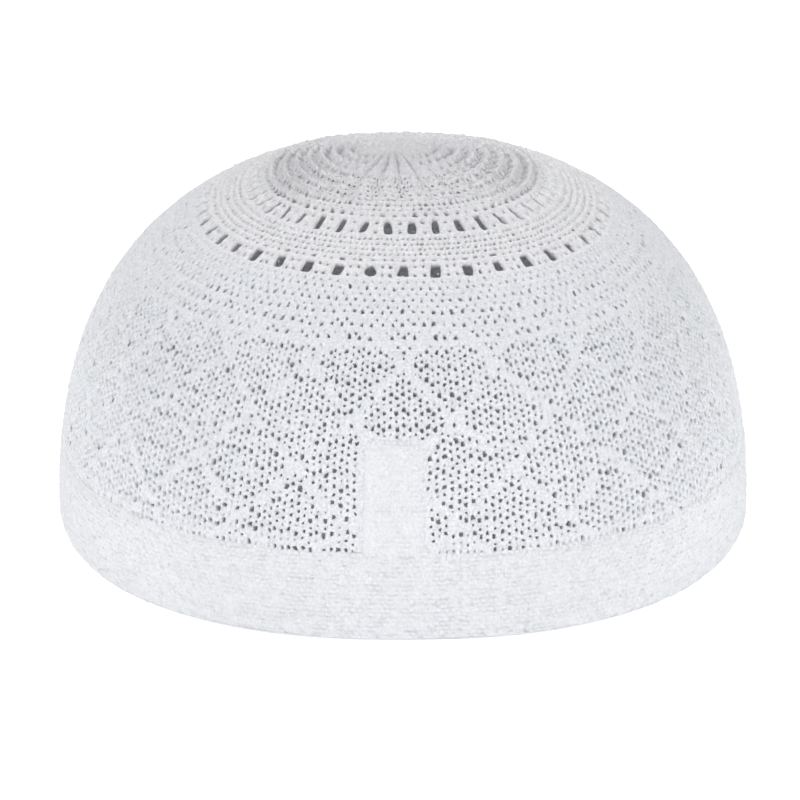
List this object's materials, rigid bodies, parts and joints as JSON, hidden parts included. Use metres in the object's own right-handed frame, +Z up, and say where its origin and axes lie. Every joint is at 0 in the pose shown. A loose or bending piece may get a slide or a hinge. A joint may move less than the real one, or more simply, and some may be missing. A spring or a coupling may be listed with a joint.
{
  "type": "knitted lace skull cap",
  "caption": "Brimless domed skull cap in white knitted lace, with a ribbed crown ringed by eyelets, a plain folded band and a short seam tab.",
  "frame": {"origin": "on the ground under the middle of the rim", "axes": "+Z up through the crown, +Y towards the back, so that the seam tab is on the -Y side"},
  "size_m": [0.164, 0.1892, 0.0851],
  "materials": {
    "crown_knit": "white yarn knitted in raised rounds",
    "lace_knit": "white yarn knitted as open lace",
    "band_knit": "white yarn knitted close and plain"
  },
  "bodies": {
    "root": {"crown": "crown_knit", "lace_wall": "lace_knit", "band": "band_knit", "seam_tab": "band_knit"}
  },
  "joints": []
}
